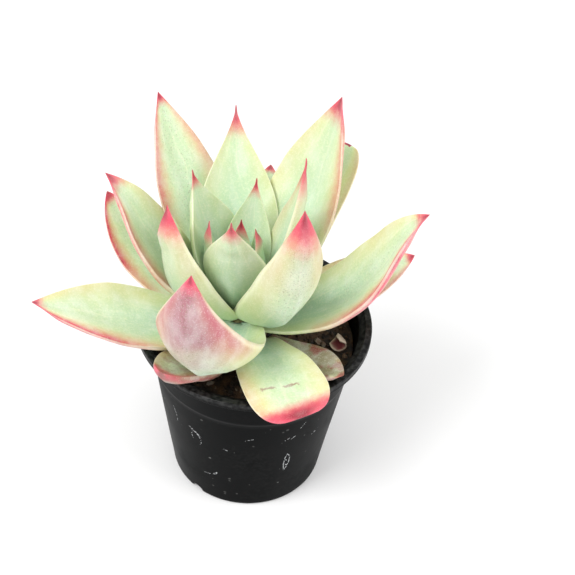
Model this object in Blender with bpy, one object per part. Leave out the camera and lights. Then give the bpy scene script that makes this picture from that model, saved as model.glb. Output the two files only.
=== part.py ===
"""A potted rosette succulent: thin plastic nursery pot, potting mix, short stem and its leaves.

Metres, +Z up, +X to the right, -Y to the front. The origin is on the pot's axis, in the plane
of its flat underside. Each leaf is a lofted, cupped, keeled body that grows from the stem.
"""

import math
from collections import namedtuple

import bmesh
import bpy
import numpy as np

MM = 0.001

# Pot
POT_HEIGHT = 75.6 * MM
RIM_RADIUS = 45.0 * MM
FOOT_RADIUS = 31.0 * MM
WALL = 1.0 * MM
FLOOR = 1.6 * MM
SHOULDER_RADIUS = 42.0 * MM
LIP_DEPTH = 3.0 * MM
STEP_Z = 58.5 * MM
TURNS = 64
DRAIN_COUNT = 3
DRAIN_FIRST = math.radians(234.0)
DRAIN_RADIUS = 2.8 * MM

# Soil and stem
SOIL_TOP = 66.0 * MM
SOIL_GAP = 0.3 * MM
STEM_FOOT = 57.0 * MM
# (height, radius) of the stem, which swells into a crown under the leaf bases
STEM_OUTLINE = (
    (57.0, 3.6),
    (61.0, 5.6),
    (66.0, 7.2),
    (73.0, 8.6),
    (79.0, 7.4),
    (85.0, 5.2),
    (90.0, 3.0),
    (94.5, 1.4),
)
SOCKET_RADIUS = 8.6 * MM
CLEAR = 0.3 * MM

# Dried bract: a thin curled scale lying on the soil at the right
BRACT_AT = (32.0 * MM, -4.0 * MM, 70.6 * MM)
BRACT_RADIUS = 3.0 * MM
BRACT_WIDTH = 6.5 * MM
BRACT_THICK = 0.6 * MM

# Leaf lofting
AROUND = 12
STATIONS = (0.0, 0.07, 0.17, 0.28, 0.40, 0.52, 0.63, 0.73, 0.82, 0.90, 0.955, 0.985)

# Seats: leaves are listed from the heart of the rosette outwards, and the foot of each next one
# sits a little lower on the stem and a little further out
SEAT_FIRST = 3.0 * MM
SEAT_STEP = 0.3 * MM
HEIGHT_FIRST = 88.0 * MM
HEIGHT_STEP = 0.75 * MM

# What leaves of one age share: foot = width of the foot as a share of the belly, belly = where
# along the leaf it is widest, point = how drawn out the tip is, cup = how hollow, thick in mm
Form = namedtuple("Form", "foot belly point cup thick colour")
FORMS = {
    "bud": Form(0.5, 0.45, 1.5, 0.3, 3.0, (0.60, 0.78, 0.55)),
    "inner": Form(0.5, 0.40, 1.9, 0.35, 4.5, (0.62, 0.79, 0.55)),
    "keeled": Form(0.55, 0.36, 1.2, 0.45, 6.5, (0.70, 0.62, 0.52)),
    "outer": Form(0.5, 0.48, 1.2, 0.2, 5.0, (0.70, 0.82, 0.55)),
    "lower": Form(0.5, 0.50, 1.0, 0.15, 4.5, (0.80, 0.78, 0.52)),
    "blunt": Form(0.6, 0.70, 0.3, 0.0, 5.5, (0.74, 0.72, 0.52)),
    "plump": Form(0.6, 0.55, 0.5, 0.1, 8.0, (0.62, 0.50, 0.36)),
    "aged": Form(0.5, 0.60, 0.95, 0.1, 4.0, (0.50, 0.44, 0.28)),
}

# One row a leaf: heading (deg, 0 = right, 90 = back), length and width (mm), rise at the foot and
# at the tip (deg). Only a few leaves sweep sideways, twist, or hook at the tip (deg).
Leaf = namedtuple(
    "Leaf", "form heading length width rise tip_rise sweep twist hook", defaults=(0, 0, 0)
)
LEAVES = {
    "leaf_bud_centre": Leaf("bud", 100, 34, 9, 85, 100),
    "leaf_bud_right": Leaf("bud", 10, 32, 14, 70, 105),
    "leaf_bud_left": Leaf("bud", 190, 38, 12, 60, 95),
    "leaf_inner_front": Leaf("inner", 262, 55, 24, 65, 80),
    "leaf_inner_back": Leaf("inner", 80, 46, 18, 65, 80),
    "leaf_inner_left": Leaf("inner", 150, 54, 26, 60, 80),
    "leaf_inner_right": Leaf("inner", 5, 70, 20, 65, 90),
    "leaf_front_right": Leaf("keeled", 310, 78, 25, 35, 100, sweep=-15, twist=-25),
    "leaf_outer_back": Leaf("inner", 100, 72, 30, 45, 65),
    "leaf_middle_left": Leaf("keeled", 205, 62, 28, 45, 90),
    "leaf_outer_back_right": Leaf("outer", 50, 88, 34, 45, 85, sweep=-22),
    "leaf_outer_back_left": Leaf("outer", 130, 84, 28, 40, 70, sweep=10),
    "leaf_front_left": Leaf("keeled", 255, 86, 37, 0, 108, sweep=-10, twist=10),
    "leaf_outer_left": Leaf("outer", 175, 72, 28, 35, 75, sweep=-10, hook=-35),
    "leaf_outer_right": Leaf("outer", 350, 90, 32, 20, 90, sweep=-10, twist=25, hook=-40),
    "leaf_lower_left": Leaf("lower", 160, 66, 24, 5, 65, sweep=-10, twist=-20),
    "leaf_lower_back_right": Leaf("blunt", 52, 72, 17, 35, 60),
    "leaf_lower_back": Leaf("lower", 85, 58, 23, 20, 50),
    "leaf_lower_back_left": Leaf("lower", 125, 60, 20, 5, 40),
    "leaf_lower_right": Leaf("lower", 20, 62, 24, 15, 25, twist=15),
    "leaf_far_left": Leaf("outer", 205, 78, 30, 20, 32, twist=-15),
    "leaf_hanging_front": Leaf("blunt", 294, 51, 29, 25, 0, twist=10),
    "leaf_short_front_left": Leaf("plump", 240, 46, 20, 15, 32),
    "leaf_aged_front_right": Leaf("aged", 322, 39, 18, 6, 22),
    "leaf_aged_back": Leaf("aged", 75, 34, 18, 5, 20),
}
BRACT_COLOUR = (0.62, 0.42, 0.36)


def clear_scene():
    for obj in list(bpy.data.objects):
        bpy.data.objects.remove(obj, do_unlink=True)


def material(name, colour, roughness, metallic=0.0):
    made = bpy.data.materials.new(name)
    made.use_nodes = True
    shader = made.node_tree.nodes["Principled BSDF"]
    shader.inputs["Base Color"].default_value = (*colour, 1.0)
    shader.inputs["Roughness"].default_value = roughness
    shader.inputs["Metallic"].default_value = metallic
    return made


def add_object(name, points, faces, smooth=True):
    mesh = bpy.data.meshes.new(name)
    mesh.from_pydata([tuple(map(float, p)) for p in points], [], faces)
    mesh.validate()
    obj = bpy.data.objects.new(name, mesh)
    bpy.context.scene.collection.objects.link(obj)
    work = bmesh.new()
    work.from_mesh(mesh)
    if work.calc_volume(signed=True) < 0:
        bmesh.ops.reverse_faces(work, faces=work.faces)
    for face in work.faces:
        face.smooth = smooth
    work.to_mesh(mesh)
    work.free()
    return obj


def stem_centre(z):
    """The stem leans a little to the left as it rises; z in metres."""
    up = z - 72.0 * MM
    return np.array([-3.5 * MM - 0.2 * up, -1.0 * MM + 0.08 * up])


def width_share(s, form):
    """Share of the full width at s along a leaf: a broad foot, a belly and a drawn-out tip."""
    if s < form.belly:
        return form.foot + (1.0 - form.foot) * math.sin(math.pi / 2 * s / form.belly)
    left = (1.0 - s) / (1.0 - form.belly)
    return math.sin(math.pi / 2 * left**0.85) ** form.point


def swollen(points, faces, reach):
    """The points moved outwards along the surface by reach."""
    points = np.array(points)
    normals = np.zeros_like(points)
    for face in faces:
        for i in range(1, len(face) - 1):
            a, b, c = face[0], face[i], face[i + 1]
            area = np.cross(points[b] - points[a], points[c] - points[a])
            area = area / max(np.linalg.norm(area), 1e-12)
            normals[[a, b, c]] += area
    normals /= np.maximum(np.linalg.norm(normals, axis=1), 1e-9)[:, None]
    return points + normals * reach


def leaf_body(name, stations=STATIONS, around=AROUND):
    """Closed rings of a leaf from its base to its tip: (points, faces)."""
    leaf = LEAVES[name]
    form = FORMS[leaf.form]
    rank = list(LEAVES).index(name)
    length, width, thick = leaf.length * MM, leaf.width * MM, form.thick * MM
    heading, rise0, rise1 = map(math.radians, (leaf.heading, leaf.rise, leaf.tip_rise))
    sweep, twist, hook = map(math.radians, (leaf.sweep, leaf.twist, leaf.hook))
    seat, height_of_foot = SEAT_FIRST + SEAT_STEP * rank, HEIGHT_FIRST - HEIGHT_STEP * rank
    centre = stem_centre(height_of_foot)
    point = np.array(
        [
            centre[0] + seat * math.cos(heading),
            centre[1] + seat * math.sin(heading),
            height_of_foot,
        ]
    )

    def pose(s):
        rise = rise0 + (rise1 - rise0) * s + hook * max(0.0, (s - 0.7) / 0.3) ** 1.5
        side = heading + sweep * s**1.5
        along = np.array(
            [math.cos(rise) * math.cos(side), math.cos(rise) * math.sin(side), math.sin(rise)]
        )
        up = np.array(
            [-math.sin(rise) * math.cos(side), -math.sin(rise) * math.sin(side), math.cos(rise)]
        )
        across = np.cross(along, up)
        turned = twist * s
        return (
            along,
            up * math.cos(turned) + across * math.sin(turned),
            across * math.cos(turned) - up * math.sin(turned),
        )

    steps = 60
    spine = [point]
    for i in range(steps):
        spine.append(spine[-1] + pose((i + 0.5) / steps)[0] * length / steps)
    spine = np.array(spine)

    def on_spine(s):
        at = s * steps
        low = min(int(at), steps - 1)
        return spine[low] + (spine[low + 1] - spine[low]) * (at - low)

    points, faces = [], []
    for s in stations:
        along, up, across = pose(s)
        share = width_share(s, form)
        half = width / 2 * share
        body = 0.55 + 0.45 * math.sin(math.pi * min(s / 0.7, 1.0))
        depth = thick * body * min(1.0, (1.0 - s) / 0.12) ** 0.5 * min(1.0, share * 2.2)
        middle = on_spine(s)
        for k in range(around):
            angle = 2 * math.pi * k / around
            side, down = math.cos(angle), math.sin(angle)
            height = form.cup * half * side**2
            if down < 0:
                height -= depth * abs(down) ** 0.8
            points.append(middle + across * half * side + up * height)
    points.append(on_spine(1.0))
    rows = len(stations)
    for k in range(around // 2):
        a, b, c, d = k, k + 1, around - k - 1, (around - k) % around
        if a != d:
            faces.append([a, d, b])
        if b != c:
            faces.append([b, d, c])
    for r in range(rows - 1):
        for k in range(around):
            a, b = r * around + k, r * around + (k + 1) % around
            if k % (around // 2) < around // 4:
                faces += [[a, b, b + around], [a, b + around, a + around]]
            else:
                faces += [[a, b, a + around], [b, b + around, a + around]]
    last = (rows - 1) * around
    for k in range(around):
        faces.append([last + k, last + (k + 1) % around, rows * around])
    return points, [face[::-1] for face in faces]


def lathe(name, outline, turns=TURNS):
    """Closed body of revolution from (radius, z) points whose first and last lie on the axis."""
    points = [(0.0, 0.0, outline[0][1])]
    inner = outline[1:-1]
    for radius, z in inner:
        for k in range(turns):
            angle = 2 * math.pi * k / turns
            points.append((radius * math.cos(angle), radius * math.sin(angle), z))
    points.append((0.0, 0.0, outline[-1][1]))
    faces = []
    for k in range(turns):
        n = (k + 1) % turns
        faces.append([0, 1 + n, 1 + k])
        for r in range(len(inner) - 1):
            a, b = 1 + r * turns + k, 1 + r * turns + n
            faces.append([a, b, b + turns, a + turns])
        last = 1 + (len(inner) - 1) * turns
        faces.append([last + k, last + n, len(points) - 1])
    return add_object(name, points, faces)


def hide_cutter(obj):
    obj.hide_render = True
    obj.display_type = "WIRE"
    return obj


def cut(obj, cutter):
    modifier = obj.modifiers.new("cut_" + cutter.name, "BOOLEAN")
    modifier.operation = "DIFFERENCE"
    modifier.solver = "EXACT"
    modifier.object = cutter


def settle(obj):
    """Applies the cuts and keeps the one largest piece, as its own clean mesh."""
    bpy.context.view_layer.update()
    graph = bpy.context.evaluated_depsgraph_get()
    mesh = bpy.data.meshes.new_from_object(obj.evaluated_get(graph))
    obj.modifiers.clear()
    obj.data = mesh
    work = bmesh.new()
    work.from_mesh(mesh)
    work.verts.ensure_lookup_table()
    unseen = set(work.verts)
    pieces = []
    while unseen:
        stack = [unseen.pop()]
        piece = list(stack)
        while stack:
            for edge in stack.pop().link_edges:
                for vert in edge.verts:
                    if vert in unseen:
                        unseen.discard(vert)
                        stack.append(vert)
                        piece.append(vert)
        pieces.append(piece)
    pieces.sort(key=len)
    for piece in pieces[:-1]:
        bmesh.ops.delete(work, geom=piece, context="VERTS")
    bmesh.ops.triangulate(work, faces=work.faces)
    work.to_mesh(mesh)
    work.free()
    return len(pieces)


def box_of(points):
    points = np.array(points)
    return points.min(axis=0), points.max(axis=0)


def boxes_meet(a, b):
    return bool((a[0] < b[1]).all() and (b[0] < a[1]).all())


def inner_radius(z):
    """Radius of the pot's inner wall at height z."""
    outer = FOOT_RADIUS + (SHOULDER_RADIUS - 0.6 * MM - FOOT_RADIUS) * z / POT_HEIGHT
    return outer - WALL - (0.5 * MM if z < STEP_Z else 0.0)


def make_pot():
    rim, high, lip = RIM_RADIUS, POT_HEIGHT, LIP_DEPTH
    wall = inner_radius
    outline = [
        (0.0, 0.0),
        (27.0 * MM, 0.0),
        (28.8 * MM, 0.5 * MM),
        (30.2 * MM, 1.9 * MM),
        (wall(5.0 * MM) + WALL, 5.0 * MM),
        (wall(30.0 * MM) + WALL, 30.0 * MM),
        (wall(STEP_Z - 1.0 * MM) + WALL, STEP_Z - 1.0 * MM),
        (wall(STEP_Z) + WALL, STEP_Z),
        (wall(high - lip) + WALL, high - lip - 0.4 * MM),
        (rim - 1.4 * MM, high - lip),
        (rim - 0.4 * MM, high - lip + 0.3 * MM),
        (rim, high - lip + 1.0 * MM),
        (rim, high - 0.9 * MM),
        (rim - 0.3 * MM, high - 0.3 * MM),
        (rim - 0.9 * MM, high),
        (rim - 2.0 * MM, high),
        (rim - 2.8 * MM, high - 0.4 * MM),
        (wall(high) + 0.1 * MM, high - 1.6 * MM),
        (wall(high - 4.0 * MM), high - 4.0 * MM),
        (wall(STEP_Z), STEP_Z + 0.5 * MM),
        (wall(STEP_Z - 1.0 * MM), STEP_Z - 1.2 * MM),
        (wall(30.0 * MM), 30.0 * MM),
        (wall(5.0 * MM), 5.0 * MM),
        (wall(5.0 * MM) - 1.2 * MM, 2.8 * MM),
        (27.2 * MM, FLOOR),
        (0.0, FLOOR),
    ]
    pot = lathe("pot", outline)
    for k in range(DRAIN_COUNT):
        angle = DRAIN_FIRST + 2 * math.pi * k / DRAIN_COUNT
        points, faces = [], []
        for reach in (24.5 * MM, 36.0 * MM):
            for i in range(16):
                turn = 2 * math.pi * i / 16
                side, up = DRAIN_RADIUS * math.cos(turn), DRAIN_RADIUS * math.sin(turn) + 0.2 * MM
                points.append(
                    (
                        reach * math.cos(angle) - side * math.sin(angle),
                        reach * math.sin(angle) + side * math.cos(angle),
                        up,
                    )
                )
        faces.append(list(range(15, -1, -1)))
        faces.append(list(range(16, 32)))
        for i in range(16):
            n = (i + 1) % 16
            faces.append([i, n, n + 16, i + 16])
        cut(pot, hide_cutter(add_object("drain_cutter_%d" % k, points, faces, smooth=False)))
    settle(pot)
    return pot


def soil_height(radius, angle):
    """Uneven top of the potting mix: low near the wall, heaped a little round the stem."""
    x, y = radius * math.cos(angle) / MM, radius * math.sin(angle) / MM
    bumps = 0.35 * math.sin(0.41 * x + 1.3) * math.cos(0.37 * y - 0.4)
    bumps += 0.2 * math.sin(0.93 * x - 0.8 * y) + 0.12 * math.cos(1.7 * y + 0.6 * x)
    return SOIL_TOP + bumps * MM - 0.8 * MM * (radius / (38.0 * MM)) ** 4


def make_soil():
    turns, radii = 48, (4, 10, 16, 21, 26, 30, 33.5, 36.5)
    edge = inner_radius(SOIL_TOP) - SOIL_GAP
    points = [(0.0, 0.0, FLOOR + SOIL_GAP)]
    lower = [
        (26.6 * MM, FLOOR + SOIL_GAP),
        (inner_radius(5 * MM) - 1.6 * MM, 3.2 * MM),
        (inner_radius(5 * MM) - 0.4 * MM, 5.4 * MM),
        (inner_radius(STEP_Z - 1 * MM) - 0.4 * MM, STEP_Z - 1.2 * MM),
        (inner_radius(STEP_Z - 1 * MM) - 0.2 * MM, STEP_Z + 0.6 * MM),
    ]
    for radius, z in lower:
        for k in range(turns):
            angle = 2 * math.pi * k / turns
            points.append((radius * math.cos(angle), radius * math.sin(angle), z))
    for radius in [edge] + [r * MM for r in reversed(radii)]:
        for k in range(turns):
            angle = 2 * math.pi * k / turns
            z = soil_height(radius, angle)
            points.append((radius * math.cos(angle), radius * math.sin(angle), z))
    points.append((0.0, 0.0, soil_height(0.0, 0.0)))
    rows = len(lower) + 1 + len(radii)
    faces = []
    for k in range(turns):
        n = (k + 1) % turns
        faces.append([0, 1 + n, 1 + k])
        for r in range(rows - 1):
            a, b = 1 + r * turns + k, 1 + r * turns + n
            faces.append([a, b, b + turns, a + turns])
        last = 1 + (rows - 1) * turns
        faces.append([last + k, last + n, len(points) - 1])
    soil = add_object("soil", points, faces)
    outline = [(0.0, STEM_FOOT - CLEAR), (SOCKET_RADIUS, STEM_FOOT - CLEAR)]
    outline += [(SOCKET_RADIUS, 70.0 * MM), (0.0, 70.0 * MM)]
    socket = lathe("stem_socket_cutter", outline, 32)
    centre = stem_centre(63.0 * MM)
    socket.location = (centre[0], centre[1], 0.0)
    cut(soil, hide_cutter(socket))
    settle(soil)
    return soil


def make_stem():
    turns = 24
    points, faces = [], []
    for z, radius in STEM_OUTLINE:
        centre = stem_centre(z * MM)
        for k in range(turns):
            angle = 2 * math.pi * k / turns
            points.append(
                (
                    centre[0] + radius * MM * math.cos(angle),
                    centre[1] + radius * MM * math.sin(angle),
                    z * MM,
                )
            )
    rows = len(STEM_OUTLINE)
    faces.append(list(range(turns))[::-1])
    faces.append([(rows - 1) * turns + k for k in range(turns)])
    for r in range(rows - 1):
        for k in range(turns):
            a, b = r * turns + k, r * turns + (k + 1) % turns
            faces += [[a, b, b + turns], [a, b + turns, a + turns]]
    return add_object("stem", points, faces)


def make_leaves():
    """Every leaf, each outer one hollowed where an inner one presses against it."""
    grown, leaves = {}, {}
    for name in LEAVES:
        points, faces = leaf_body(name)
        leaf = add_object(name, points, faces)
        points, faces = leaf_body(name, STATIONS[:-1])
        wide_points = swollen(points, faces, 1.3 * CLEAR)
        cutter = hide_cutter(add_object(name + "_cutter", wide_points, faces))
        own = box_of(wide_points)
        for other, (box, other_cutter) in grown.items():
            if boxes_meet(own, box):
                cut(leaf, other_cutter)
        grown[name] = (own, cutter)
        leaves[name] = leaf
    for leaf in leaves.values():
        settle(leaf)
    return leaves, [cutter for _, cutter in grown.values()]


def make_bract():
    """A curled papery scale: an arc-shaped strip, pointed towards one end."""
    steps = 14
    points, faces = [], []
    for i in range(steps + 1):
        share = i / steps
        angle = math.radians(-150.0 + 235.0 * share)
        half = BRACT_WIDTH / 2 * (0.35 + 0.65 * math.sin(math.pi * (0.12 + 0.86 * share)))
        radius = BRACT_RADIUS * (1.15 - 0.45 * share)
        for side, offset in ((-half, 0.0), (half, 0.0), (half, BRACT_THICK), (-half, BRACT_THICK)):
            reach = radius - offset
            points.append((reach * math.cos(angle), side, reach * math.sin(angle)))
    faces.append([3, 2, 1, 0])
    faces.append([steps * 4, steps * 4 + 1, steps * 4 + 2, steps * 4 + 3])
    for i in range(steps):
        for k in range(4):
            a, b = i * 4 + k, i * 4 + (k + 1) % 4
            faces.append([a, b, b + 4, a + 4])
    bract = add_object("dried_bract", points, faces)
    bract.location = BRACT_AT
    bract.rotation_euler = (math.radians(8.0), math.radians(-12.0), math.radians(35.0))
    return bract


def main():
    clear_scene()
    pot = make_pot()
    soil = make_soil()
    stem = make_stem()
    leaves, cutters = make_leaves()
    for cutter in cutters:
        cut(stem, cutter)
    settle(stem)
    bract = make_bract()
    pot.data.materials.append(material("pot_plastic", (0.015, 0.015, 0.017), 0.38))
    soil.data.materials.append(material("potting_mix", (0.045, 0.030, 0.020), 0.95))
    stem.data.materials.append(material("stem_bark", (0.42, 0.40, 0.24), 0.70))
    bract.data.materials.append(material("bract_paper", BRACT_COLOUR, 0.65))
    for name, leaf in leaves.items():
        colour = FORMS[LEAVES[name].form].colour
        leaf.data.materials.append(material(name + "_skin", colour, 0.48))


if __name__ == "__main__":
    main()
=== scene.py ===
import math
import random
from collections import namedtuple

import bmesh
import bpy
import numpy as np
from bpy.props import FloatProperty, FloatVectorProperty, IntProperty, PointerProperty
from bpy.types import Operator, Panel, PropertyGroup
from mathutils import Matrix, Vector, noise


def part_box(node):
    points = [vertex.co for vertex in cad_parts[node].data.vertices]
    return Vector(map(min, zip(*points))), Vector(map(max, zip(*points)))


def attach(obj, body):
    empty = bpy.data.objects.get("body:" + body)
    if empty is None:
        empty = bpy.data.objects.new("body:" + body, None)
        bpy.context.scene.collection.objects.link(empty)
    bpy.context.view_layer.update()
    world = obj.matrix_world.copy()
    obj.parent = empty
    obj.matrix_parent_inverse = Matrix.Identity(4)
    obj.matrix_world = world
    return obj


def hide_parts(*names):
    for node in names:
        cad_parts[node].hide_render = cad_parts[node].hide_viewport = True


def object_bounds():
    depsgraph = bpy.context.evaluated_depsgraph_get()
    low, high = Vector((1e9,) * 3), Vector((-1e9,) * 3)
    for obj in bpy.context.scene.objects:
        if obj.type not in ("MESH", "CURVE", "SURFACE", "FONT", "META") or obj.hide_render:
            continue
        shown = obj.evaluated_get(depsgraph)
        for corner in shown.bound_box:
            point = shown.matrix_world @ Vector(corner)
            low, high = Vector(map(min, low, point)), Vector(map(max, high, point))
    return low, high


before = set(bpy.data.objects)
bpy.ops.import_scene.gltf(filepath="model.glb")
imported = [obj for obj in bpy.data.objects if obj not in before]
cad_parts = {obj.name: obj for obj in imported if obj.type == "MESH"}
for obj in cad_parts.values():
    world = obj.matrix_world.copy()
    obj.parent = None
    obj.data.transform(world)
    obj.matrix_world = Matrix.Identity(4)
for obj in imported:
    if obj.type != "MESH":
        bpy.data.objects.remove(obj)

CAD_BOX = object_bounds()

bl_info = {
    "name": "Potted Succulent",
    "version": (1, 0, 0),
    "blender": (4, 5, 0),
    "location": "View3D > Sidebar > Succulent",
    "description": "Builds a rosette succulent in a nursery pot around its packed frame",
    "category": "Object",
}

MM = 0.001
POT_BOX, SOIL_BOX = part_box("pot"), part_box("soil")
RIM_RADIUS = (POT_BOX[1].x - POT_BOX[0].x) / 2
POT_HEIGHT = POT_BOX[1].z
SOIL_RADIUS = (SOIL_BOX[1].x - SOIL_BOX[0].x) / 2

# Seats of the leaves: each next leaf, counted from the heart, sits lower and further out
SEAT_FIRST, SEAT_STEP = 3.0 * MM, 0.3 * MM
HEIGHT_FIRST, HEIGHT_STEP = 88.0 * MM, 0.75 * MM

# What leaves of one age share: foot and belly widths and places, drawn-out point, hollow, thickness
Form = namedtuple("Form", "foot belly point cup thick groove keel")
FORMS = {
    "bud": Form(0.5, 0.45, 1.5, 0.3, 3.0, 0.03, 0.10),
    "inner": Form(0.5, 0.40, 1.9, 0.35, 4.5, 0.04, 0.12),
    "keeled": Form(0.55, 0.36, 1.2, 0.45, 6.5, 0.05, 0.22),
    "outer": Form(0.5, 0.48, 1.2, 0.2, 5.0, 0.06, 0.15),
    "lower": Form(0.5, 0.50, 1.0, 0.15, 4.5, 0.05, 0.12),
    "blunt": Form(0.6, 0.70, 0.3, 0.0, 5.5, 0.03, 0.08),
    "plump": Form(0.6, 0.55, 0.5, 0.1, 8.0, 0.03, 0.08),
    "aged": Form(0.5, 0.60, 0.95, 0.1, 4.0, 0.08, 0.15),
}

# By node name without its "leaf_": heading (deg, 0 = right, 90 = back), length and width (mm),
# rise at the foot and at the tip (deg)
Leaf = namedtuple(
    "Leaf", "form heading length width rise tip_rise sweep twist hook", defaults=(0, 0, 0)
)
LEAVES = {
    "bud_centre": Leaf("bud", 100, 34, 9, 85, 100),
    "bud_right": Leaf("bud", 10, 32, 14, 70, 105),
    "bud_left": Leaf("bud", 190, 38, 12, 60, 95),
    "inner_front": Leaf("inner", 262, 55, 24, 65, 80),
    "inner_back": Leaf("inner", 80, 46, 18, 65, 80),
    "inner_left": Leaf("inner", 150, 54, 26, 60, 80),
    "inner_right": Leaf("inner", 5, 70, 20, 65, 90),
    "front_right": Leaf("keeled", 310, 78, 25, 35, 100, sweep=-15, twist=-25),
    "outer_back": Leaf("inner", 100, 72, 30, 45, 65),
    "middle_left": Leaf("keeled", 205, 62, 28, 45, 90),
    "outer_back_right": Leaf("outer", 50, 88, 34, 45, 85, sweep=-22),
    "outer_back_left": Leaf("outer", 130, 84, 28, 40, 70, sweep=10),
    "front_left": Leaf("keeled", 255, 86, 37, 0, 108, sweep=-10, twist=10),
    "outer_left": Leaf("outer", 175, 72, 28, 35, 75, sweep=-10, hook=-35),
    "outer_right": Leaf("outer", 350, 90, 32, 20, 90, sweep=-10, twist=25, hook=-40),
    "lower_left": Leaf("lower", 160, 66, 24, 5, 65, sweep=-10, twist=-20),
    "lower_back_right": Leaf("blunt", 52, 72, 17, 35, 60),
    "lower_back": Leaf("lower", 85, 58, 23, 20, 50),
    "lower_back_left": Leaf("lower", 125, 60, 20, 5, 40),
    "lower_right": Leaf("lower", 20, 62, 24, 15, 25, twist=15),
    "far_left": Leaf("outer", 205, 78, 30, 20, 32, twist=-15),
    "hanging_front": Leaf("blunt", 294, 51, 29, 25, 0, twist=10),
    "short_front_left": Leaf("plump", 240, 46, 20, 15, 32),
    "aged_front_right": Leaf("aged", 322, 39, 18, 6, 22),
    "aged_back": Leaf("aged", 75, 34, 18, 5, 20),
}

# How each leaf is coloured, as shares from 0 to 1: warm = yellow over blue-green, tip = length of
# the pink tip, right and left = blush on each margin seen from the stem, outer = mauve outer face,
# stipple = fine dark dots, age = drying to olive brown, scar = torn brown streaks
Look = namedtuple("Look", "warm tip right left outer stipple age scar", defaults=(0, 0, 0, 0, 0, 0))
LOOKS = {
    "bud_centre": Look(0.2, 0.35),
    "bud_right": Look(0.2, 0.30),
    "bud_left": Look(0.2, 0.30),
    "inner_front": Look(0.25, 0.22, 0.05, 0.05, 0.10),
    "inner_back": Look(0.25, 0.20),
    "inner_left": Look(0.3, 0.18),
    "inner_right": Look(0.5, 0.28, 0.1, 0.2),
    "front_right": Look(0.7, 0.26, 0.1, 0.15, 0.25, 0.7),
    "outer_back": Look(0.55, 0.20, 0.05, 0.05),
    "middle_left": Look(0.6, 0.26, 0.1, 0.1, 0.15, 0.1),
    "outer_back_right": Look(0.7, 0.16, 0.6, 0.1),
    "outer_back_left": Look(0.6, 0.08, 0.5, 0.8, 0.0, 0.5),
    "front_left": Look(0.8, 0.10, 0.3, 0.35, 1.0, 0.9),
    "outer_left": Look(0.6, 0.14, 0.1, 0.8, 0.1, 0.2),
    "outer_right": Look(0.7, 0.10, 1.0, 0.1, 0.8, 0.4),
    "lower_left": Look(0.9, 0.10, 0.4, 1.0, 0.7, 0.3),
    "lower_back_right": Look(1.0, 0.005, 0.25, 0.2, 0.05),
    "lower_back": Look(0.7, 0.08, 0.4, 0.4, 0.3, 0.3),
    "lower_back_left": Look(0.7, 0.08, 0.4, 0.4, 0.3, 0.3),
    "lower_right": Look(0.9, 0.08, 0.7, 0.4, 0.3, 0.2),
    "far_left": Look(0.8, 0.08, 0.1, 1.0, 0.3, 0.15),
    "hanging_front": Look(0.8, 0.18, 0.3, 0.1, 0.3, 0.2, 0.0, 1.0),
    "short_front_left": Look(0.8, 0.10, 0.2, 0.8, 0.9, 0.9, 0.6),
    "aged_front_right": Look(0.7, 0.08, 0.3, 0.3, 0.6, 0.9, 1.0),
    "aged_back": Look(0.7, 0.10, 0.4, 0.4, 0.6, 0.8, 0.8),
}

# Chalky rubs on the pot wall: width (mm), then (azimuth deg, height mm) points along each rub
RUBS = (
    (0.55, ((235, 45), (238, 43.5), (240, 43), (243, 41))),
    (0.35, ((240, 43), (242.5, 40), (243, 37.5), (242, 36))),
    (0.25, ((237, 43), (236, 40.5), (237, 38))),
    (0.30, ((243, 17.2), (247, 17.6), (250, 18.6))),
    (0.95, ((250, 18.2), (253, 20.5))),
    (0.40, ((299, 34.5), (301, 32), (301, 28.5), (300, 25), (298.5, 22.5))),
    (0.40, ((299, 34.5), (297.5, 31.5), (297.4, 27.5), (298.5, 22.5))),
    (0.55, ((298.2, 30.5), (300.4, 29.3))),
    (0.50, ((298.0, 27.2), (300.2, 26.0))),
    (0.35, ((295, 44.5), (298, 46))),
    (0.40, ((299, 44.6), (302, 46.4))),
    (0.30, ((304, 50), (307, 53))),
    (0.25, ((271, 47), (276, 48.4))),
    (0.30, ((258, 39), (261, 38.4))),
    (0.25, ((222, 50), (224, 46), (224, 41))),
    (0.25, ((315, 41), (320, 43))),
    (0.30, ((60, 40), (66, 42), (70, 41))),
    (0.30, ((130, 30), (133, 27))),
    (0.25, ((180, 48), (186, 46), (188, 42))),
    (0.35, ((20, 25), (24, 27))),
)


def colour(name, default, words):
    return FloatVectorProperty(
        name=name, description=words, subtype="COLOR", size=3, min=0.0, max=1.0, default=default
    )


def share(name, default, words):
    return FloatProperty(
        name=name, description=words, subtype="FACTOR", min=0.0, max=1.0, default=default
    )


def length(name, default, words):
    return FloatProperty(
        name=name, description=words, subtype="DISTANCE", unit="LENGTH", min=0.0, default=default
    )


class SucculentLeafSettings(PropertyGroup):
    """Colours and surface of the leaves."""

    green: colour("Green", (0.50, 0.68, 0.45), "Flesh of the leaf face")
    # the blue green darkens the foot of each leaf: partly its waxy tone, partly painted shade
    blue: colour("Blue green", (0.40, 0.61, 0.50), "Waxy flesh towards the foot")
    yellow: colour("Yellow green", (0.68, 0.72, 0.36), "Warm flesh towards the margins")
    cream: colour("Cream", (0.90, 0.88, 0.66), "Thin clear line along the margins")
    blush: colour("Blush", (0.68, 0.045, 0.11), "Sunlit pink of tips")
    orange: colour("Orange blush", (0.72, 0.28, 0.19), "Sunlit orange of margins")
    point: colour("Point", (0.24, 0.008, 0.028), "Dark red of the hard tip")
    mauve: colour("Mauve", (0.36, 0.13, 0.17), "Outer face in full sun")
    olive: colour("Olive", (0.17, 0.125, 0.06), "Drying flesh and dark dots")
    bloom: share("Bloom", 0.28, "How much of the pale wax bloom is left on the skin")
    margin: length("Margin thickness", 0.35 * MM, "Thickness of the rounded margin")
    spine: length("Tip spine", 0.45 * MM, "Radius of the small hard tip")
    stations: IntProperty(name="Stations", description="Rings along a leaf", default=60, min=12)
    around: IntProperty(name="Around", description="Points round a leaf", default=40, min=12)


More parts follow.
